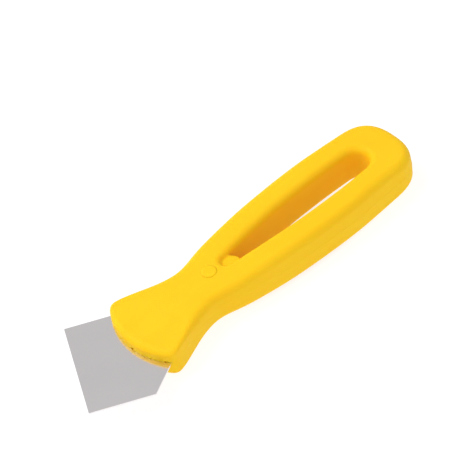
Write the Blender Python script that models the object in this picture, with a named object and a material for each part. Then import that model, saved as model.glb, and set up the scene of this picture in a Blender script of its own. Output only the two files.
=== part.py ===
"""Painter's multi tool: a small scraper with a skewed steel blade in a moulded grip.

Three pieces. The handle is one moulding with a long finger slot and a pocket that opens at its
mouth. The blade is a flat plate whose tang fills that pocket. The lock pin goes down through the
handle and a hole in the tang.

Metres, +Z up. The tool lies on its back face at z = 0, with its axis along X: +X is the hanging
end and -X the blade. x = 0 is the middle of its length. "Along" is a distance from the hanging
end, towards the blade.
"""

import math

import bmesh
import bpy
import numpy as np

MM = 0.001

# Overall
HANDLE_LENGTH = 120 * MM
BLADE_EDGE = 38 * MM
BLADE_SKEW = math.radians(27.5)  # of the working edge, and of the flare of the blade's sides
FIT_GAP = 0.3 * MM

# Handle outline: half-widths along the grip, neck and flared mouth, and the rounding of both ends
SIDE_STATIONS = ((0, 14.7), (12.7, 14.0), (28, 14.8), (45, 14.8), (60, 13.95), (73, 12.65),
                 (81.5, 11.35), (89.5, 9.75), (98.5, 11.3), (107.5, 14.4))
TAIL_ROUND, TAIL_SQUARENESS = 13.8 * MM, 2.5
MOUTH_ARC, MOUTH_SQUARENESS = 6.0 * MM, 14

# Handle thickness, measured from the parting plane to the front face and to the back face
FRONT_GRIP, FRONT_TAIL, FRONT_NECK, FRONT_LIP = 7.5 * MM, 6.4 * MM, 6.0 * MM, 4.7 * MM
BACK_GRIP, BACK_TAIL, BACK_NECK, BACK_LIP = 7.6 * MM, 6.3 * MM, 6.2 * MM, 6.0 * MM
GRIP_START, GRIP_END, NECK, FLARE_END = 20 * MM, 56 * MM, 98 * MM, 111 * MM
EDGE_RADIUS, FLARE_RADIUS, LIP_RADIUS = 2.85 * MM, 1.45 * MM, 2.2 * MM

# Finger slot
SLOT_START, SLOT_END = 13.2 * MM, 78.5 * MM
SLOT_STATIONS = ((13.9, 4.35), (24, 4.85), (36, 4.95), (49, 4.55), (61, 3.6), (70, 2.7),
                 (78.5, 2.0))
SLOT_TAIL_ROUND, SLOT_NECK_ROUND, SLOT_SQUARENESS = 5.2 * MM, 2.6 * MM, 2.1
RIM_RADIUS, NECK_RIM_RADIUS = 2.7 * MM, 2.1 * MM
RIM_START, RIM_END = 62 * MM, 76 * MM  # between these the one radius eases to the other
WEB_EDGE, WEB_BULGE, WEB_HALF_THICKNESS = 72 * MM, 0.9 * MM, 4.9 * MM
WEB_OVERLAP = 1.5 * MM  # how far the web runs into the slot's walls

# Blade and tang
BLADE_THICKNESS = 0.7 * MM
BLADE_LEVEL = 0.1 * MM  # middle of the plate, from the parting plane
FLARE_ALONG, FLARE_HALF_WIDTH = 115 * MM, 15.1 * MM
CORNER_HALF_WIDTH = 22.6 * MM
TANG_HALF_WIDTH, TANG_TIP = 5.9 * MM, 75.2 * MM

# Lock pin
PIN_ALONG, PIN_ACROSS = 83.8 * MM, 0.5 * MM
PIN_HEAD_RADIUS, PIN_SHANK_RADIUS = 2.65 * MM, 1.5 * MM
PIN_TOP, PIN_SHOULDER, PIN_END = 6.75 * MM, 3.6 * MM, -3.9 * MM  # heights from the parting plane
PIN_EDGE = 0.35 * MM

# Facets
OUTLINE_POINTS, SLOT_POINTS, EDGE_STEPS, RIM_STEPS = 180, 84, 4, 3
ROUND_POINTS = 32
DENSE = 2001  # points that an outline is measured with before it is divided evenly

YELLOW = (0.96, 0.64, 0.025, 1)
PIN_YELLOW = (0.97, 0.66, 0.03, 1)
STEEL = (0.56, 0.55, 0.55, 1)
PLASTIC_ROUGHNESS, STEEL_ROUGHNESS = 0.5, 0.35
CREASE = math.radians(40)  # edges that turn more than this are drawn sharp


def clear_scene():
    for thing in list(bpy.data.objects):
        bpy.data.objects.remove(thing, do_unlink=True)


def material(name, colour, roughness, metallic):
    made = bpy.data.materials.new(name)
    made.use_nodes = True
    shader = made.node_tree.nodes["Principled BSDF"]
    shader.inputs["Base Color"].default_value = colour
    shader.inputs["Roughness"].default_value = roughness
    shader.inputs["Metallic"].default_value = metallic
    return made


# Curves along the handle


def smooth_step(value):
    """0 below 0, 1 above 1, and an even S between them."""
    value = np.clip(value, 0, 1)
    return value * value * (3 - 2 * value)


def spline(stations):
    """The natural cubic curve through (along, half-width) stations given in millimetres."""
    s, y = np.array(stations, float).T * MM
    gap = np.diff(s)
    slope = np.diff(y) / gap
    system = np.eye(len(s))
    right = np.zeros(len(s))
    for i in range(1, len(s) - 1):
        system[i, i - 1 : i + 2] = gap[i - 1], 2 * (gap[i - 1] + gap[i]), gap[i]
        right[i] = 6 * (slope[i] - slope[i - 1])
    bend = np.linalg.solve(system, right)

    def value(at):
        i = np.clip(np.searchsorted(s, at) - 1, 0, len(gap) - 1)
        a, b = at - s[i], s[i + 1] - at
        return ((bend[i] * b**3 + bend[i + 1] * a**3) / (6 * gap[i])
                + (y[i] / gap[i] - bend[i] * gap[i] / 6) * b
                + (y[i + 1] / gap[i] - bend[i + 1] * gap[i] / 6) * a)

    return value


def rounding(depth, length, squareness):
    """A factor that closes an outline's end: 0 at its tip, 1 from length onwards."""
    inside = np.clip(1 - depth / length, 0, 1)
    return (1 - inside**squareness) ** (1 / squareness)


def mouth_rounding(depth):
    """A factor that closes the outline at the mouth: a shallow arc across it, with tight corners."""
    arc = np.sqrt(np.clip(depth, 0, None) / MOUTH_ARC)
    return arc / (1 + arc**MOUTH_SQUARENESS) ** (1 / MOUTH_SQUARENESS)


handle_side = spline(SIDE_STATIONS)
slot_side = spline(SLOT_STATIONS)


def handle_half_width(s):
    tail = rounding(s, TAIL_ROUND, TAIL_SQUARENESS)
    return handle_side(s) * tail * mouth_rounding(HANDLE_LENGTH - s)


def slot_half_width(s):
    tail = rounding(s - SLOT_START, SLOT_TAIL_ROUND, SLOT_SQUARENESS)
    return slot_side(s) * tail * rounding(SLOT_END - s, SLOT_NECK_ROUND, SLOT_SQUARENESS)


def thickness(s, grip, tail, neck, lip):
    """From the parting plane to a face: even over the grip, easing to the tail, the neck and the lip."""
    return (grip + (tail - grip) * (1 - smooth_step(s / GRIP_START))
            + (neck - grip) * smooth_step((s - GRIP_END) / (NECK - GRIP_END))
            + (lip - neck) * smooth_step((s - NECK) / (HANDLE_LENGTH - NECK)))


def front(s):
    return thickness(s, FRONT_GRIP, FRONT_TAIL, FRONT_NECK, FRONT_LIP)


def back(s):
    return -thickness(s, BACK_GRIP, BACK_TAIL, BACK_NECK, BACK_LIP)


def edge_radius(s):
    near_flare = smooth_step((s - NECK) / (FLARE_END - NECK))
    near_lip = smooth_step((s - FLARE_END) / (HANDLE_LENGTH - FLARE_END))
    return (EDGE_RADIUS + (FLARE_RADIUS - EDGE_RADIUS) * near_flare
            + (LIP_RADIUS - FLARE_RADIUS) * near_lip)


def rim_radius(s):
    near_neck = smooth_step((s - RIM_START) / (RIM_END - RIM_START))
    return RIM_RADIUS + (NECK_RIM_RADIUS - RIM_RADIUS) * near_neck


# The blade's corners, as (along, across)

FLARE = math.tan(BLADE_SKEW)
POINT_ALONG = FLARE_ALONG + (CORNER_HALF_WIDTH - FLARE_HALF_WIDTH) / FLARE
HEEL = np.array([POINT_ALONG, CORNER_HALF_WIDTH])
TIP = HEEL + BLADE_EDGE * np.array([math.sin(BLADE_SKEW), -math.cos(BLADE_SKEW)])
SHORT_SIDE = ((FLARE_HALF_WIDTH + (TIP[0] - FLARE_ALONG) * FLARE + TIP[1])
              / (2 * math.sin(BLADE_SKEW)))
CLIP = TIP - SHORT_SIDE * np.array([math.cos(BLADE_SKEW), math.sin(BLADE_SKEW)])
SHOULDER_ALONG = FLARE_ALONG - (FLARE_HALF_WIDTH - TANG_HALF_WIDTH) / FLARE

TAIL_X = TIP[0] / 2
PARTING_Z = BACK_GRIP


def blade_ring(grow):
    """The plate's outline, grown sideways: the round tang, its shoulders and the cut corners."""
    spread = grow / math.cos(BLADE_SKEW)
    half = TANG_HALF_WIDTH + grow
    shoulder = SHOULDER_ALONG - (spread - grow) / FLARE
    centre = TANG_TIP + TANG_HALF_WIDTH
    turns = np.linspace(math.pi / 2, -math.pi / 2, ROUND_POINTS // 2 + 1)
    tang = [(centre - half * math.cos(a), half * math.sin(a)) for a in turns]
    sides = [(shoulder, -half), CLIP - (0, spread), TIP, HEEL + (0, spread), (shoulder, half)]
    return np.array([*tang, *sides])


def circle(radius):
    turns = np.linspace(0, 2 * math.pi, ROUND_POINTS, endpoint=False)
    return np.c_[PIN_ALONG + radius * np.cos(turns), PIN_ACROSS + radius * np.sin(turns)]


def even_ring(half_width, start, end, count):
    """Evenly spaced points round a symmetric outline: along its +Y side, then back along its -Y side."""
    s = start + (end - start) * (1 - np.cos(np.linspace(0, math.pi, DENSE))) / 2
    y = half_width(s)
    ring = np.vstack([np.c_[s, y], np.c_[s, -y][-2::-1]])
    run = np.r_[0, np.cumsum(np.hypot(*np.diff(ring, axis=0).T))]
    at = np.linspace(0, run[-1], count, endpoint=False)
    return np.c_[np.interp(at, run, ring[:, 0]), np.interp(at, run, ring[:, 1])]


def outward(ring):
    """Unit normals of a ring that runs as even_ring does."""
    tangent = np.roll(ring, -1, axis=0) - np.roll(ring, 1, axis=0)
    return np.c_[-tangent[:, 1], tangent[:, 0]] / np.hypot(*tangent.T)[:, None]


def rounded_wall(ring, radius_at, steps, side):
    """Rings from the front face, round its edge, down the wall and round onto the back face.

    side is 1 for an outer wall, whose edges draw in, and -1 for the wall of an opening.
    """
    normal = outward(ring)
    radius = radius_at(ring[:, 0])
    turn = np.linspace(math.pi / 2, 0, steps + 1)
    rings = []
    for face, way, angles in ((front, 1, turn), (back, -1, turn[::-1])):
        for angle in angles:
            moved = ring - side * normal * (radius * (1 - math.cos(angle)))[:, None]
            height = face(moved[:, 0]) - way * radius * (1 - math.sin(angle))
            rings.append(np.c_[moved, height])
    return rings


def at_height(ring, height):
    return np.c_[ring, np.full(len(ring), height)]


# Meshes


def solid(name, stacks):
    """A closed mesh from stacks of rings, each from top to bottom.

    The first stack is the outer wall and the rest are holes.
    """
    mesh = bmesh.new()
    ends = {0: [], -1: []}
    for rings in stacks:
        loops = [[mesh.verts.new((TAIL_X - s, y, PARTING_Z + z)) for s, y, z in ring]
                 for ring in rings]
        for upper, lower in zip(loops, loops[1:]):
            for i in range(len(upper)):
                mesh.faces.new((upper[i - 1], upper[i], lower[i], lower[i - 1]))
        for end, edges in ends.items():
            loop = loops[end]
            edges += [mesh.edges.get((loop[i - 1], loop[i])) for i in range(len(loop))]
    for edges in ends.values():
        bmesh.ops.triangle_fill(mesh, edges=edges, use_beauty=True, normal=(0, 0, 1))
    bmesh.ops.recalc_face_normals(mesh, faces=mesh.faces)
    data = bpy.data.meshes.new(name)
    mesh.to_mesh(data)
    mesh.free()
    made = bpy.data.objects.new(name, data)
    bpy.context.scene.collection.objects.link(made)
    return made


def helper(name, stacks):
    """A solid that only shapes another one."""
    made = solid(name, stacks)
    made.hide_render = True
    made.display_type = "WIRE"
    return made


def combine(target, other, operation):
    change = target.modifiers.new(other.name, "BOOLEAN")
    change.operation = operation
    change.object = other
    change.solver = "EXACT"


def finish(thing, look):
    thing.data.materials.append(look)
    thing.data.shade_smooth()
    thing.data.set_sharp_from_angle(angle=CREASE)


def plate(ring, middle, half):
    """A stack that spans half above and half below the height of its middle."""
    return [at_height(ring, middle + half), at_height(ring, middle - half)]


def turned(profile):
    """A stack of circles about the pin's axis, from (radius, height) pairs, top first."""
    return [at_height(circle(radius), height) for radius, height in profile]


def web():
    """The block that closes the slot's narrow end between two shallow recesses.

    Its free edge bulges towards the hanging end.
    """
    half = slot_half_width(WEB_EDGE) + WEB_OVERLAP
    across = np.linspace(half, -half, ROUND_POINTS // 2 + 1)
    edge = np.c_[WEB_EDGE + WEB_BULGE * (across / half) ** 2, across]
    root = SLOT_END + WEB_OVERLAP
    ring = np.vstack([edge, [(root, -half), (root, half)]])
    return helper("web", [plate(ring, 0, WEB_HALF_THICKNESS)])


def handle():
    outer = even_ring(handle_half_width, 0, HANDLE_LENGTH, OUTLINE_POINTS)
    slot = even_ring(slot_half_width, SLOT_START, SLOT_END, SLOT_POINTS)
    made = solid("handle", [
        rounded_wall(outer, edge_radius, EDGE_STEPS, 1),
        rounded_wall(slot, rim_radius, RIM_STEPS, -1),
    ])
    combine(made, web(), "UNION")
    pocket = plate(blade_ring(FIT_GAP), BLADE_LEVEL, BLADE_THICKNESS / 2 + FIT_GAP)
    combine(made, helper("pocket", [pocket]), "DIFFERENCE")
    head, shank = PIN_HEAD_RADIUS + FIT_GAP, PIN_SHANK_RADIUS + FIT_GAP
    shoulder, end = PIN_SHOULDER - FIT_GAP, PIN_END - FIT_GAP
    well = turned([(head, FRONT_GRIP), (head, shoulder), (shank, shoulder), (shank, end)])
    combine(made, helper("pin_well", [well]), "DIFFERENCE")
    finish(made, material("handle", YELLOW, PLASTIC_ROUGHNESS, 0))


def blade():
    rings = blade_ring(0), circle(PIN_SHANK_RADIUS + FIT_GAP)
    made = solid("blade", [plate(ring, BLADE_LEVEL, BLADE_THICKNESS / 2) for ring in rings])
    finish(made, material("blade", STEEL, STEEL_ROUGHNESS, 1))


def lock_pin():
    made = solid("lock_pin", [turned([
        (PIN_HEAD_RADIUS - PIN_EDGE, PIN_TOP), (PIN_HEAD_RADIUS, PIN_TOP - PIN_EDGE),
        (PIN_HEAD_RADIUS, PIN_SHOULDER), (PIN_SHANK_RADIUS, PIN_SHOULDER),
        (PIN_SHANK_RADIUS, PIN_END),
    ])])
    finish(made, material("lock_pin", PIN_YELLOW, PLASTIC_ROUGHNESS, 0))


clear_scene()
handle()
blade()
lock_pin()
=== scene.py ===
"""Looks of the painter's multi tool: its moulded grip, steel blade and lock pin.

The handle is worked out as a signed distance, meshed on a grid and drawn onto the exact surface,
so that its rims, web and lip have true fillets. The blade and the pin are built from rings.
Everything is in metres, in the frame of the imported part. "Along" is a distance from the hanging
end towards the blade, and heights are from the handle's parting plane unless a name ends in _Z.
"""

import itertools
import math

import bmesh
import bpy
import numpy as np
from mathutils import Matrix, Vector
from mathutils.kdtree import KDTree


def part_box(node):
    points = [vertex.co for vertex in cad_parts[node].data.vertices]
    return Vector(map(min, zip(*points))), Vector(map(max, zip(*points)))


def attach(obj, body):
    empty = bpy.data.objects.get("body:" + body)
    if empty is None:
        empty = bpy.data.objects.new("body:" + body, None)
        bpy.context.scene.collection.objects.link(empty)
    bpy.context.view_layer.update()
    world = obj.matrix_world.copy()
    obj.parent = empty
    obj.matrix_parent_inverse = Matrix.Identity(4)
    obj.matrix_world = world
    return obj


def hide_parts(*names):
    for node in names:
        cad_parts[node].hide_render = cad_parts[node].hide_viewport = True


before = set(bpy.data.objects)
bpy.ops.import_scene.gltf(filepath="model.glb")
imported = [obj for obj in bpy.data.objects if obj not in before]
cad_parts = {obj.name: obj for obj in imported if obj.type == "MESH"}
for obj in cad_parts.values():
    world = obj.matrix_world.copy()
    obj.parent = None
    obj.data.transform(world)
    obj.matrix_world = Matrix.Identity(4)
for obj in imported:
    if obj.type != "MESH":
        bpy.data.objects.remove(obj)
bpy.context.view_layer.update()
handle_low, handle_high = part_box("handle")
blade_low, blade_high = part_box("blade")
pin_low, pin_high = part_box("lock_pin")

MM = 0.001
TAIL_X = handle_high.x
HANDLE_LENGTH = handle_high.x - handle_low.x

# Handle outline, as in the part: half-widths in millimetres, the tail's rounding, and the depth of
# the arc across the mouth
SIDE_STATIONS = ((0, 14.7), (12.7, 14.0), (28, 14.8), (45, 14.8), (60, 13.95), (73, 12.65),
                 (81.5, 11.35), (89.5, 9.75), (98.5, 11.3), (107.5, 14.4))
TAIL_ROUND, TAIL_SQUARENESS = 13.8 * MM, 2.5
MOUTH_ARC, MOUTH_SQUARENESS = 6 * MM, 14

# Handle thickness from the parting plane to each face, and the rounding of the faces' edges
FRONT_GRIP, FRONT_TAIL, FRONT_NECK, FRONT_LIP = 7.5 * MM, 6.4 * MM, 6.0 * MM, 4.7 * MM
BACK_GRIP, BACK_TAIL, BACK_NECK, BACK_LIP = 7.6 * MM, 6.3 * MM, 6.2 * MM, 6.0 * MM
GRIP_START, GRIP_END, NECK, FLARE_END = 20 * MM, 56 * MM, 98 * MM, 111 * MM
EDGE_RADIUS, FLARE_RADIUS, LIP_RADIUS = 2.85 * MM, 1.45 * MM, 2.2 * MM
PARTING_Z = BACK_GRIP  # the tool lies on its back face

# Finger slot, the rounding of its rims, and the web across its narrow end
SLOT_START, SLOT_END = 13.2 * MM, 78.5 * MM
SLOT_STATIONS = ((13.9, 4.35), (24, 4.85), (36, 4.95), (49, 4.55), (61, 3.6), (70, 2.7),
                 (78.5, 2.0))
SLOT_TAIL_ROUND, SLOT_NECK_ROUND, SLOT_SQUARENESS = 5.2 * MM, 2.6 * MM, 2.1
RIM_RADIUS, NECK_RIM_RADIUS = 2.7 * MM, 2.1 * MM
RIM_START, RIM_END = 62 * MM, 76 * MM  # between these the one radius eases to the other
WEB_EDGE, WEB_HALF_THICKNESS = 72.3 * MM, 4.9 * MM
WEB_SLANT, WEB_BULGE = 0.37, 0.16 / MM  # its free edge moves along by these, times across
WEB_EDGE_RADIUS, WEB_FILLET = 0.7 * MM, 0.7 * MM
WEB_INSET, WEB_ROOT = 3 * MM, 86 * MM  # it stops this far inside the outline, and this far along

# Marks of the mould: walls that draw in from the parting line, the fine ridge along it, a small
# step down from it at the neck, and the flash and nicks where the lip meets the blade
DRAFT, DRAFT_LEVEL = math.tan(math.radians(2.2)), 3.4 * MM
RIDGE_HEIGHT, RIDGE_WIDTH = 0.06 * MM, 0.16 * MM
STEP, STEP_WIDTH = 0.22 * MM, 0.15 * MM
STEP_ALONG, STEP_REACH = 84 * MM, 12 * MM
MARKS_START, MARKS_END = 96 * MM, 106 * MM  # the draft and the ridge fade out between these
FLASH, FLASH_WIDTH = 0.13 * MM, 0.4 * MM
FLASH_WAVES = ((1.9, 0.3, 1.0), (3.7, 1.9, 0.7), (6.3, 4.1, 0.5))  # turns per 10 mm, phase, share
NICKS = ((-13.7 * MM, 0.5 * MM), (-1.2 * MM, 0.55 * MM), (6.1 * MM, 0.3 * MM))  # across, radius

# Blade
BLADE_EDGE = 38 * MM
BLADE_SKEW = math.radians(27.5)
BLADE_BEVEL, BEVEL_STEPS, BEVEL_ANGLE = 0.05 * MM, 3, math.radians(40)
BLADE_BOTTOM, BLADE_TOP = blade_low.z - PARTING_Z, blade_high.z - PARTING_Z
TANG_TIP, TANG_HALF_WIDTH = TAIL_X - blade_high.x, 5.9 * MM
CORNER_RADIUS, CORNER_POINTS = 0.3 * MM, 6
POCKET_GAP, WELL_GAP = 0.02 * MM, 0.05 * MM  # round the blade, and round the pin

# Lock pin
PIN_ALONG, PIN_ACROSS = TAIL_X - (pin_low.x + pin_high.x) / 2, (pin_low.y + pin_high.y) / 2
PIN_HEAD_RADIUS, PIN_SHANK_RADIUS = (pin_high.x - pin_low.x) / 2, 1.5 * MM
PIN_TOP, PIN_SHOULDER, PIN_END = pin_high.z - PARTING_Z, 3.6 * MM, pin_low.z - PARTING_Z
PIN_DOME, PIN_ROUND, DOME_POINTS = 0.3 * MM, 1 * MM, 9  # height and width of its rounded edge
PIN_CREASE = math.radians(35)  # edges that turn more than this are drawn sharp

# Mesh density: spans of the grid that the handle is meshed on, as (start, end, step) in millimetres
ALONG_LINES = ((-1.2, 20, 0.45), (20, 66, 0.6), (66, 90, 0.32), (90, 106, 0.5), (106, 121.5, 0.3))
ACROSS_LINES = ((-16.9, 17.0, 0.38),)
HEIGHT_LINES = ((-8.6, -0.5, 0.38), (-0.5, 0.4, 0.1), (0.4, 1.6, 0.2), (1.6, 8.6, 0.38))
OUTLINE_POINTS, ROUND_POINTS = 12000, 96
DENSE = 4001  # points that an outline is measured with before it is divided evenly
NORMAL_STEP, SKIN = 0.02 * MM, 0.05 * MM
DRAWN_ON = 3  # times that the handle's points are moved onto its surface

# Plastic: its two tones, the size of its flow marks, waves and grain, and the light inside it
YELLOW_LIGHT, YELLOW_DEEP = (0.98, 0.595, 0.013, 1), (0.97, 0.57, 0.011, 1)
PIN_LIGHT, PIN_DEEP = (0.98, 0.605, 0.0125, 1), (0.97, 0.585, 0.011, 1)
FLOW_SIZE, FLOW_STRETCH = 9 * MM, (0.25, 1, 1)
WAVE_SIZE, WAVE_DEPTH = 5 * MM, 0.05 * MM
GRAIN_SIZE, GRAIN_DEPTH = 0.28 * MM, 0.012 * MM
PLASTIC_RELIEF, PLASTIC_ROUGHNESS = 0.35, (0.5, 0.64)
PLASTIC_IOR, PLASTIC_SHINE = 1.49, 0.1
LIGHT_INSIDE, LIGHT_REACH, LIGHT_COLOURS = 0.32, 2 * MM, (1, 0.42, 0.05)

# Steel: its two tones, the tone of its grinding lines, and their size and depth
STEEL_LIGHT, STEEL_DEEP = (0.87, 0.836, 0.844, 1), (0.845, 0.812, 0.82, 1)
STEEL_LINE, LINE_SHARE = (0.79, 0.76, 0.768, 1), 0.12
LINE_SIZE, LINE_STRETCH = 0.12 * MM, (0.02, 1, 1)
LINE_DEPTH, LINE_RELIEF = 0.003 * MM, 0.25
STEEL_CLOUDS, STEEL_ROUGHNESS = 14 * MM, (0.15, 0.2)

# Stage. The floor glows, so that it stays pale, but less under the slot, where the dimmer glow is a
# painted shadow of the tool: that patch is an ellipse of the given middle and reach, and its edge is
# between two shares of the reach
FLOOR_SIZE, FLOOR_GAP = 12, 0.05 * MM
FLOOR_LIGHT, FLOOR_DEEP = (0.26, 0.26, 0.26, 1), (0.23, 0.23, 0.23, 1)
FIBRE_SIZE, FLOOR_ROUGHNESS, FLOOR_SHINE = 3 * MM, 0.9, 0.1
FLOOR_GLOW, SHADOW_GLOW = 0.84, 0.55
SHADE_MIDDLE, SHADE_REACH, SHADE_EDGE = (30 * MM, -3.5 * MM), (42 * MM, 10.5 * MM), (0.55, 1.1)

# Light. Each lamp has a direction from the tool, a size and a power
SKY, LAMP_DISTANCE = 0.6, 1.2
KEY_WAY, KEY_SIZE, KEY_WATTS = (-0.36, 0.4, 0.85), 0.8, 9.4
FILL_WAY, FILL_SIZE, FILL_WATTS = (-0.2, -1, 0.35), 1, 1.8

# Camera: its direction from the tool and its roll in degrees, its lens and sensor in millimetres,
# its range of sight, and the point it looks at, which is shifted along its own axes
VIEW_AZIMUTH, VIEW_ELEVATION, VIEW_ROLL = -33.06, 46.39, -11.9
VIEW_DISTANCE, LENS, SENSOR = 1.0603, 250.4, 36
NEAREST, FURTHEST = 0.01, 100
AIM_ALONG, AIM_SHIFT = 57.99 * MM, (-13.42 * MM, 3.65 * MM, 0)


# Curves along the handle


def smooth_step(value):
    """0 below 0, 1 above 1, and an even S between them."""
    value = np.clip(value, 0, 1)
    return value * value * (3 - 2 * value)


def spline(stations):
    """The natural cubic curve through (along, half-width) stations given in millimetres."""
    s, y = np.array(stations, float).T * MM
    gap = np.diff(s)
    slope = np.diff(y) / gap
    system = np.eye(len(s))
    right = np.zeros(len(s))
    for i in range(1, len(s) - 1):
        system[i, i - 1 : i + 2] = gap[i - 1], 2 * (gap[i - 1] + gap[i]), gap[i]
        right[i] = 6 * (slope[i] - slope[i - 1])
    bend = np.linalg.solve(system, right)

    def value(at):
        i = np.clip(np.searchsorted(s, at) - 1, 0, len(gap) - 1)
        a, b = at - s[i], s[i + 1] - at
        return ((bend[i] * b**3 + bend[i + 1] * a**3) / (6 * gap[i])
                + (y[i] / gap[i] - bend[i] * gap[i] / 6) * b
                + (y[i + 1] / gap[i] - bend[i + 1] * gap[i] / 6) * a)

    return value


def rounding(depth, length, squareness):
    """A factor that closes an outline's end: 0 at its tip, 1 from length onwards."""
    inside = np.clip(1 - depth / length, 0, 1)
    return (1 - inside**squareness) ** (1 / squareness)


def mouth_rounding(depth):
    """A factor that closes the outline at the mouth: a shallow arc across it, with tight corners."""
    arc = np.sqrt(np.clip(depth, 0, None) / MOUTH_ARC)
    return arc / (1 + arc**MOUTH_SQUARENESS) ** (1 / MOUTH_SQUARENESS)


handle_side = spline(SIDE_STATIONS)
slot_side = spline(SLOT_STATIONS)


def handle_half_width(s):
    tail = rounding(s, TAIL_ROUND, TAIL_SQUARENESS)
    return handle_side(s) * tail * mouth_rounding(HANDLE_LENGTH - s)


def slot_half_width(s):
    tail = rounding(s - SLOT_START, SLOT_TAIL_ROUND, SLOT_SQUARENESS)
    return slot_side(s) * tail * rounding(SLOT_END - s, SLOT_NECK_ROUND, SLOT_SQUARENESS)


def thickness(s, grip, tail, neck, lip):
    """From the parting plane to a face: even over the grip, easing to the tail, neck and lip."""
    return (grip + (tail - grip) * (1 - smooth_step(s / GRIP_START))
            + (neck - grip) * smooth_step((s - GRIP_END) / (NECK - GRIP_END))
            + (lip - neck) * smooth_step((s - NECK) / (HANDLE_LENGTH - NECK)))


def front(s):
    return thickness(s, FRONT_GRIP, FRONT_TAIL, FRONT_NECK, FRONT_LIP)


def back(s):
    return -thickness(s, BACK_GRIP, BACK_TAIL, BACK_NECK, BACK_LIP)


def edge_radius(s):
    near_flare = smooth_step((s - NECK) / (FLARE_END - NECK))
    near_lip = smooth_step((s - FLARE_END) / (HANDLE_LENGTH - FLARE_END))
    return (EDGE_RADIUS + (FLARE_RADIUS - EDGE_RADIUS) * near_flare
            + (LIP_RADIUS - FLARE_RADIUS) * near_lip)


def rim_radius(s):
    near_neck = smooth_step((s - RIM_START) / (RIM_END - RIM_START))
    return RIM_RADIUS + (NECK_RIM_RADIUS - RIM_RADIUS) * near_neck


def mouth(across):
    """How far along the mouth's edge is, at a distance from the centre line."""
    s = np.linspace(HANDLE_LENGTH, HANDLE_LENGTH - MOUTH_ARC, ROUND_POINTS)
    return float(np.interp(abs(across), handle_half_width(s), s))


# Signed distances, below 0 inside


class Outline:
    """The distance from a closed symmetric outline in the plane of the handle."""

    def __init__(self, half_width, start, end):
        s = start + (end - start) * (1 - np.cos(np.linspace(0, math.pi, DENSE))) / 2
        y = half_width(s)
        ring = np.vstack([np.c_[s, y], np.c_[s, -y][-2::-1]])
        run = np.r_[0, np.cumsum(np.hypot(*np.diff(ring, axis=0).T))]
        at = np.linspace(0, run[-1], OUTLINE_POINTS, endpoint=False)
        self.ring = np.c_[np.interp(at, run, ring[:, 0]), np.interp(at, run, ring[:, 1])]
        tangent = np.roll(self.ring, -2, axis=0) - np.roll(self.ring, 2, axis=0)
        self.normal = np.c_[-tangent[:, 1], tangent[:, 0]] / np.hypot(*tangent.T)[:, None]
        self.tree = KDTree(OUTLINE_POINTS)
        for i, (along, across) in enumerate(self.ring.tolist()):
            self.tree.insert((along, across, 0), i)
        self.tree.balance()

    def near(self, s, y):
        """The distance at each point, and the outline's normal nearest to it."""
        find = self.tree.find
        nearest = np.array([find((a, b, 0))[1] for a, b in zip(s.tolist(), y.tolist())])
        normal = self.normal[nearest]
        return ((np.c_[s, y] - self.ring[nearest]) * normal).sum(axis=1), normal


outer_outline = Outline(handle_half_width, 0, HANDLE_LENGTH)
slot_outline = Outline(slot_half_width, SLOT_START, SLOT_END)


def rounded_overlap(a, b, radius):
    """What two solids share, with that radius on the edge where their faces meet."""
    a, b = a + radius, b + radius
    outside = np.hypot(np.maximum(a, 0), np.maximum(b, 0))
    return np.minimum(np.maximum(a, b), 0) + outside - radius


def filleted_union(a, b, radius):
    """Two solids joined, with a fillet of that radius in the corner between them."""
    corner = np.hypot(np.maximum(radius - a, 0), np.maximum(radius - b, 0))
    return np.maximum(radius, np.minimum(a, b)) - corner


def bump(value, width):
    return np.exp(-((value / width) ** 2))


def flash(s, y, z):
    """How far the lip's ragged lower edge stands out, above the blade."""
    wave = sum(share * np.sin(turns * 2 * math.pi * y / (10 * MM) + phase)
               for turns, phase, share in FLASH_WAVES)
    return FLASH * wave * bump(z - BLADE_TOP - FLASH_WIDTH, FLASH_WIDTH) * (s > MARKS_END)


def handle_field(s, y, z, outer, slot):
    """The handle's distance at points whose distances from both outlines are known."""
    marks = 1 - smooth_step((s - MARKS_START) / (MARKS_END - MARKS_START))
    height = np.hypot(z, RIDGE_WIDTH)
    outer = outer + marks * DRAFT * (height - DRAFT_LEVEL) - flash(s, y, z)
    outer = outer - marks * RIDGE_HEIGHT * bump(z, RIDGE_WIDTH)
    outer = outer + STEP * bump(s - STEP_ALONG, STEP_REACH) * smooth_step(0.5 - z / STEP_WIDTH)
    face = np.maximum(z - front(s), back(s) - z)
    grip = rounded_overlap(outer, face, edge_radius(s))
    grip = np.maximum(grip, rounded_overlap(-slot, face, rim_radius(s)))
    beyond = WEB_EDGE + WEB_SLANT * y + WEB_BULGE * y * y - s
    web = rounded_overlap(beyond, np.abs(z) - WEB_HALF_THICKNESS, WEB_EDGE_RADIUS)
    web = np.maximum.reduce((web, outer + WEB_INSET, s - WEB_ROOT))
    grip = filleted_union(grip, web, WEB_FILLET)
    for across, radius in NICKS:
        away = np.sqrt((s - mouth(across)) ** 2 + (y - across) ** 2 + (z - BLADE_TOP) ** 2)
        grip = np.maximum(grip, radius - away)
    return grip


def near_handle(points):
    """The handle's distance at each point, and its unit normal there."""
    s, y, z = points.T
    outer, outer_way = outer_outline.near(s, y)
    slot, slot_way = slot_outline.near(s, y)

    def value(step):
        return handle_field(s + step[0], y + step[1], z + step[2],
                            outer + outer_way @ step[:2], slot + slot_way @ step[:2])

    steps = np.eye(3) * NORMAL_STEP
    slope = np.stack([value(step) - value(-step) for step in steps], axis=1)
    return value(np.zeros(3)), slope / np.linalg.norm(slope, axis=1)[:, None]


# Meshes


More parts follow.
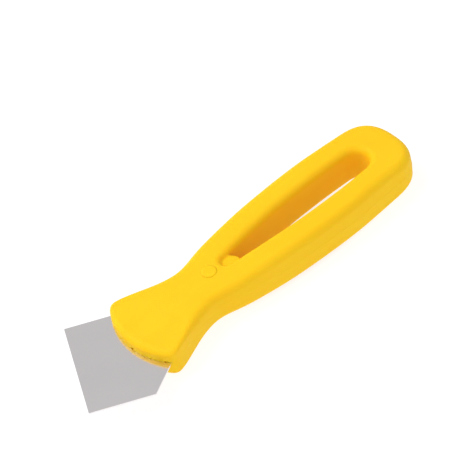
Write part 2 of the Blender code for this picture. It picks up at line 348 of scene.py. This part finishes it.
def surface_net(grid, values):
    """Points and quads of the surface where values, given on a grid of points, change sign.

    Each grid cell that the surface crosses gets one point, at the mean of the crossings of its
    edges, and each crossed edge gets a quad of the four cells round it.
    """
    cells = np.array(values.shape) - 1
    total, count = np.zeros((*cells, 3)), np.zeros(cells)
    crossed = []
    for axis in range(3):
        others = [a for a in range(3) if a != axis]
        low, high = [slice(None)] * 3, [slice(None)] * 3
        low[axis], high[axis] = slice(None, -1), slice(1, None)
        low, high = tuple(low), tuple(high)
        change = (values[low] < 0) != (values[high] < 0)
        share = values[low][change] / (values[low] - values[high])[change]
        place = np.zeros((*change.shape, 3))
        place[change] = grid[low][change] + share[:, None] * (grid[high] - grid[low])[change]
        for offset in itertools.product((0, 1), repeat=2):
            part = [slice(None)] * 3
            for a, shift in zip(others, offset):
                part[a] = slice(shift, shift + cells[a])
            total += place[tuple(part)]
            count += change[tuple(part)]
        crossed.append((np.argwhere(change), others, (values[low][change] < 0) == (axis == 1)))
    mixed = count > 0
    number = np.zeros(cells, int)
    number[mixed] = np.arange(mixed.sum())
    quads = []
    for at, others, turned in crossed:
        round_it = []
        for shift in ((0, 0), (1, 0), (1, 1), (0, 1)):
            cell = at.copy()
            cell[:, others] -= shift
            round_it.append(number[tuple(cell.T)])
        quad = np.stack(round_it, axis=1)
        quad[turned] = quad[turned][:, ::-1]
        quads.append(quad)
    return total[mixed] / count[mixed][:, None], np.vstack(quads)


def stretch(*spans):
    """Grid lines over spans of (start, end, step), each in millimetres."""
    lines = [np.linspace(a, b, round((b - a) / step), endpoint=False) for a, b, step in spans]
    return np.concatenate(lines) * MM


def add_object(name, data):
    made = bpy.data.objects.new(name, data)
    bpy.context.scene.collection.objects.link(made)
    return made


def mesh_object(name, points, faces):
    """A mesh object from points given as (along, across, height)."""
    placed = np.c_[TAIL_X - points[:, 0], points[:, 1], PARTING_Z + points[:, 2]]
    data = bpy.data.meshes.new(name)
    data.from_pydata(placed.tolist(), [], faces.tolist())
    return add_object(name, data)


def stacked(name, stacks):
    """A closed mesh from stacks of (ring, height) pairs, each from top to bottom.

    The first stack is the outer wall and the rest are holes.
    """
    mesh = bmesh.new()
    ends = {0: [], -1: []}
    for rings in stacks:
        loops = [[mesh.verts.new((TAIL_X - s, y, PARTING_Z + height)) for s, y in ring]
                 for ring, height in rings]
        for upper, lower in zip(loops, loops[1:]):
            for i in range(len(upper)):
                mesh.faces.new((upper[i - 1], upper[i], lower[i], lower[i - 1]))
        for end, edges in ends.items():
            loop = loops[end]
            edges += [mesh.edges.get((loop[i - 1], loop[i])) for i in range(len(loop))]
    for edges in ends.values():
        bmesh.ops.triangle_fill(mesh, edges=edges, use_beauty=True, normal=(0, 0, 1))
    bmesh.ops.recalc_face_normals(mesh, faces=mesh.faces)
    data = bpy.data.meshes.new(name)
    mesh.to_mesh(data)
    mesh.free()
    return add_object(name, data)


def apply_modifiers(thing):
    graph = bpy.context.evaluated_depsgraph_get()
    thing.data = bpy.data.meshes.new_from_object(thing.evaluated_get(graph))
    thing.modifiers.clear()


def cut(target, cutter):
    change = target.modifiers.new(cutter.name, "BOOLEAN")
    change.operation, change.solver, change.object = "DIFFERENCE", "EXACT", cutter
    apply_modifiers(target)
    bpy.data.objects.remove(cutter)


def circle(radius):
    turns = np.linspace(0, 2 * math.pi, ROUND_POINTS, endpoint=False)
    return np.c_[PIN_ALONG + radius * np.cos(turns), PIN_ACROSS + radius * np.sin(turns)]


# Materials

MIX_FIRST, MIX_SECOND, MIX_RESULT = 6, 7, 2  # the colour sockets of a Mix node


class Shading:
    """A node material with a Principled shader, and short ways to add and link nodes."""

    def __init__(self, name):
        self.material = bpy.data.materials.new(name)
        self.material.use_nodes = True
        self.tree = self.material.node_tree
        self.shader = self.tree.nodes["Principled BSDF"]
        self.place = self.node("ShaderNodeTexCoord").outputs["Object"]

    def node(self, kind, links=None, **settings):
        """A node with its inputs by name, each a value or another node's output."""
        made = self.tree.nodes.new(kind)
        for name, value in settings.items():
            setattr(made, name, value)
        for name, value in (links or {}).items():
            self.feed(made.inputs[name], value)
        return made

    def feed(self, socket, value):
        if isinstance(value, bpy.types.NodeSocket):
            self.tree.links.new(value, socket)
        else:
            socket.default_value = value

    def principled(self, **inputs):
        for name, value in inputs.items():
            self.feed(self.shader.inputs[name.replace("_", " ")], value)

    def noise(self, size, detail=3, roughness=0.5, place=None):
        """Noise whose features are about that size, from 0 to 1."""
        made = self.node("ShaderNodeTexNoise", {
            "Vector": place or self.place, "Scale": 1 / size, "Detail": detail,
            "Roughness": roughness,
        })
        return made.outputs["Fac"]

    def spread(self, value, low, high, start=0.3, end=0.7):
        """A value mapped from start..end to low..high."""
        made = self.node("ShaderNodeMapRange", {
            "Value": value, "From Min": start, "From Max": end, "To Min": low, "To Max": high,
        })
        return made.outputs["Result"]

    def blend(self, factor, first, second):
        """The first colour where the factor is 0, and the second where it is 1."""
        links = {"Factor": factor, MIX_FIRST: first, MIX_SECOND: second}
        return self.node("ShaderNodeMix", links, data_type="RGBA").outputs[MIX_RESULT]

    def relief(self, height, depth, strength, below=None):
        """A bump of that depth, on top of another one if one is given."""
        made = self.node("ShaderNodeBump", {
            "Height": height, "Distance": depth, "Strength": strength,
        })
        if below:
            self.feed(made.inputs["Normal"], below)
        return made.outputs["Normal"]


def moulded_plastic(name, light, deep):
    """Satin moulded plastic: a fine eroded grain, flow marks and a little depth of colour."""
    look = Shading(name)
    flow = look.node("ShaderNodeMapping", {"Vector": look.place, "Scale": FLOW_STRETCH})
    marks = look.noise(FLOW_SIZE, detail=4, roughness=0.55, place=flow.outputs["Vector"])
    grain = look.noise(GRAIN_SIZE, detail=2)
    waves = look.relief(look.noise(WAVE_SIZE, detail=1), WAVE_DEPTH, PLASTIC_RELIEF)
    look.principled(
        Base_Color=look.blend(look.spread(marks, 0, 1), deep, light),
        Roughness=look.spread(grain, *PLASTIC_ROUGHNESS),
        Normal=look.relief(grain, GRAIN_DEPTH, PLASTIC_RELIEF, waves),
        IOR=PLASTIC_IOR, Specular_IOR_Level=PLASTIC_SHINE, Subsurface_Weight=LIGHT_INSIDE,
        Subsurface_Scale=LIGHT_REACH, Subsurface_Radius=LIGHT_COLOURS,
    )
    return look.material


def ground_steel(name):
    """Fine ground spring steel, with its grinding lines along the tool."""
    look = Shading(name)
    drawn = look.node("ShaderNodeMapping", {"Vector": look.place, "Scale": LINE_STRETCH})
    lines = look.noise(LINE_SIZE, roughness=0.6, place=drawn.outputs["Vector"])
    tone = look.blend(look.spread(look.noise(STEEL_CLOUDS), 0, 1), STEEL_DEEP, STEEL_LIGHT)
    look.principled(
        Base_Color=look.blend(look.spread(lines, 0, LINE_SHARE), tone, STEEL_LINE),
        Metallic=1, Roughness=look.spread(lines, *STEEL_ROUGHNESS),
        Normal=look.relief(lines, LINE_DEPTH, LINE_RELIEF),
    )
    return look.material


# Pieces


def as_piece(thing, node, look):
    """The piece stands for its CAD node, which it hides, and takes the finish it is given."""
    thing.data.materials.clear()
    thing.data.materials.append(look)
    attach(thing, "root")
    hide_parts(node)


def pin_profile(gap):
    """The pin's rings, from its domed head down to its end, grown by a gap."""
    head, shank, top = PIN_HEAD_RADIUS + gap, PIN_SHANK_RADIUS + gap, PIN_TOP + gap
    turns = np.linspace(math.pi / 2, 0, DOME_POINTS)
    dome = [(head - PIN_ROUND * (1 - math.cos(a)), top - PIN_DOME * (1 - math.sin(a)))
            for a in turns]
    return [*dome, (head, PIN_SHOULDER - gap), (shank, PIN_SHOULDER - gap), (shank, PIN_END - gap)]


def turned(name, profile):
    return stacked(name, [[(circle(radius), height) for radius, height in profile]])


def rounded_corners(corners, radius):
    """A ring with each corner replaced by an arc."""
    ring = []
    for before, corner, after in zip([corners[-1], *corners[:-1]], corners,
                                     [*corners[1:], corners[0]]):
        towards = [(end - corner) / np.linalg.norm(end - corner) for end in (before, after)]
        half = math.acos(np.clip(towards[0] @ towards[1], -1, 1)) / 2
        middle = (towards[0] + towards[1]) / np.linalg.norm(towards[0] + towards[1])
        centre = corner + middle * radius / math.sin(half)
        start, end = (corner + way * radius / math.tan(half) - centre for way in towards)
        for share in np.linspace(0, 1, CORNER_POINTS):
            way = (1 - share) * start + share * end
            ring.append(centre + radius * way / np.linalg.norm(way))
    return ring


def blade_corners():
    """The plate's working-edge corners, its short side's corner and its shoulders."""
    tip_along = TAIL_X - blade_low.x
    skew = np.array([math.sin(BLADE_SKEW), -math.cos(BLADE_SKEW)])
    tip = np.array([tip_along, blade_high.y + BLADE_EDGE * skew[1]])
    heel = tip - BLADE_EDGE * skew
    short = (tip[1] - blade_low.y) / math.sin(BLADE_SKEW)
    clip = tip - short * np.array([math.cos(BLADE_SKEW), math.sin(BLADE_SKEW)])
    shoulder = heel[0] - (heel[1] - TANG_HALF_WIDTH) / math.tan(BLADE_SKEW)
    return [np.array([shoulder, -TANG_HALF_WIDTH]), clip, tip, heel,
            np.array([shoulder, TANG_HALF_WIDTH])]


def blade_ring(gap):
    """The plate's outline: its round tang, then its corners, grown by a gap."""
    centre = TANG_TIP + TANG_HALF_WIDTH
    turns = np.linspace(math.pi / 2, -math.pi / 2, ROUND_POINTS // 2 + 1)
    radius = TANG_HALF_WIDTH + gap
    tang = [(centre - radius * math.cos(a), radius * math.sin(a)) for a in turns]
    spread = gap / math.cos(BLADE_SKEW)
    low, clip, tip, heel, high = blade_corners()
    corners = [low - (gap, gap), clip - (0, spread), tip - (0, gap), heel + (0, spread),
               high + (-gap, gap)]
    return np.array([*tang, *rounded_corners(corners, CORNER_RADIUS)])


def blade():
    hole = circle(PIN_SHANK_RADIUS + WELL_GAP)
    made = stacked("blade_plate", [[(ring, BLADE_TOP), (ring, BLADE_BOTTOM)]
                                   for ring in (blade_ring(0), hole)])
    made.data.shade_smooth()
    edges = made.modifiers.new("edges", "BEVEL")
    edges.width, edges.segments, edges.harden_normals = BLADE_BEVEL, BEVEL_STEPS, True
    edges.limit_method, edges.angle_limit = "ANGLE", BEVEL_ANGLE
    apply_modifiers(made)
    as_piece(made, "blade", ground_steel("ground_steel"))


def lock_pin():
    made = turned("pin", pin_profile(0))
    made.data.shade_smooth()
    made.data.set_sharp_from_angle(angle=PIN_CREASE)
    as_piece(made, "lock_pin", moulded_plastic("pin_plastic", PIN_LIGHT, PIN_DEEP))


def read(items, name):
    """One vector of each item, as rows."""
    values = np.empty(len(items) * 3)
    items.foreach_get(name, values)
    return values.reshape(-1, 3)


def read_whole(items, name):
    """One whole number of each item."""
    values = np.empty(len(items), int)
    items.foreach_get(name, values)
    return values


def true_normals(thing):
    """Gives the moulded skin its exact normals, and leaves the faces that were cut flat."""
    data = thing.data
    mirror, shift = np.array([-1, 1, 1]), np.array([TAIL_X, 0, -PARTING_Z])
    away, normal = near_handle(read(data.vertices, "co") * mirror + shift)
    middle_away = near_handle(read(data.polygons, "center") * mirror + shift)[0]
    corners = read_whole(data.loops, "vertex_index")
    face_of = np.repeat(np.arange(len(data.polygons)), read_whole(data.polygons, "loop_total"))
    moulded = (np.abs(middle_away) < SKIN)[face_of] & (np.abs(away) < SKIN)[corners]
    flat = read(data.polygons, "normal")[face_of]
    data.shade_smooth()
    chosen = np.where(moulded[:, None], (normal * mirror)[corners], flat)
    data.normals_split_custom_set(chosen.tolist())


def handle():
    axes = (stretch(*ALONG_LINES), stretch(*ACROSS_LINES), stretch(*HEIGHT_LINES))
    grid = np.stack(np.meshgrid(*axes, indexing="ij"), axis=-1)
    s, y, z = np.moveaxis(grid, -1, 0)
    flat = s[:, :, 0].ravel(), y[:, :, 0].ravel()
    outer, slot = (outline.near(*flat)[0].reshape(*s.shape[:2], 1)
                   for outline in (outer_outline, slot_outline))
    points, quads = surface_net(grid, handle_field(s, y, z, outer, slot))
    for _ in range(DRAWN_ON):
        away, normal = near_handle(points)
        points = points - away[:, None] * normal
    made = mesh_object("grip", points, quads)
    pocket = [(blade_ring(POCKET_GAP), BLADE_TOP + POCKET_GAP),
              (blade_ring(POCKET_GAP), BLADE_BOTTOM - POCKET_GAP)]
    cut(made, stacked("pocket", [pocket]))
    cut(made, turned("well", pin_profile(WELL_GAP)))
    true_normals(made)
    as_piece(made, "handle", moulded_plastic("handle_plastic", YELLOW_LIGHT, YELLOW_DEEP))


# The stage


def floor():
    look = Shading("floor_paper")
    fibres = look.spread(look.noise(FIBRE_SIZE, detail=4), 0, 1)
    # The glow drops inside an ellipse under the slot: a painted shadow of the tool on the floor
    middle, reach = np.array([*SHADE_MIDDLE, 0]), np.array([*SHADE_REACH, 1])
    under = look.node("ShaderNodeMapping", {
        "Vector": look.place, "Location": -middle / reach, "Scale": 1 / reach,
    })
    away = look.node("ShaderNodeVectorMath", {0: under.outputs["Vector"]}, operation="LENGTH")
    look.principled(
        Base_Color=look.blend(fibres, FLOOR_DEEP, FLOOR_LIGHT), Roughness=FLOOR_ROUGHNESS,
        Specular_IOR_Level=FLOOR_SHINE, Emission_Color=(1, 1, 1, 1),
        Emission_Strength=look.spread(away.outputs["Value"], SHADOW_GLOW, FLOOR_GLOW, *SHADE_EDGE),
    )
    data = bpy.data.meshes.new("floor")
    half = FLOOR_SIZE / 2
    corners = [(-half, -half, 0), (half, -half, 0), (half, half, 0), (-half, half, 0)]
    data.from_pydata(corners, [], [(0, 1, 2, 3)])
    data.materials.append(look.material)
    made = add_object("floor", data)
    made.location.z = -FLOOR_GAP


def soft_light(name, towards, size, watts):
    """A square lamp that hangs in that direction from the tool and faces it."""
    data = bpy.data.lights.new(name, "AREA")
    data.shape, data.size, data.energy = "SQUARE", size, watts
    made = add_object(name, data)
    way = Vector(towards).normalized()
    made.location = way * LAMP_DISTANCE
    made.rotation_euler = way.to_track_quat("Z", "Y").to_euler()


def studio():
    world = bpy.data.worlds.new("studio")
    world.use_nodes = True
    sky = world.node_tree.nodes["Background"]
    sky.inputs["Color"].default_value = (1, 1, 1, 1)
    sky.inputs["Strength"].default_value = SKY
    bpy.context.scene.world = world
    soft_light("key", KEY_WAY, KEY_SIZE, KEY_WATTS)
    soft_light("fill", FILL_WAY, FILL_SIZE, FILL_WATTS)
    bpy.context.scene.view_settings.view_transform = "Standard"
    bpy.context.scene.view_settings.look = "None"


def camera():
    data = bpy.data.cameras.new("camera")
    data.sensor_width, data.lens = SENSOR, LENS
    data.clip_start, data.clip_end = NEAREST, FURTHEST
    made = add_object("camera", data)
    azimuth, elevation = math.radians(VIEW_AZIMUTH), math.radians(VIEW_ELEVATION)
    back_way = Vector((math.sin(azimuth) * math.cos(elevation),
                       -math.cos(azimuth) * math.cos(elevation), math.sin(elevation)))
    turn = back_way.to_track_quat("Z", "Y").to_matrix()
    turn = turn @ Matrix.Rotation(math.radians(VIEW_ROLL), 3, "Z")
    aim = Vector((TAIL_X - AIM_ALONG, 0, PARTING_Z)) + turn @ Vector(AIM_SHIFT)
    made.matrix_world = Matrix.Translation(aim + back_way * VIEW_DISTANCE) @ turn.to_4x4()
    bpy.context.scene.camera = made


handle()
blade()
lock_pin()
floor()
studio()
camera()
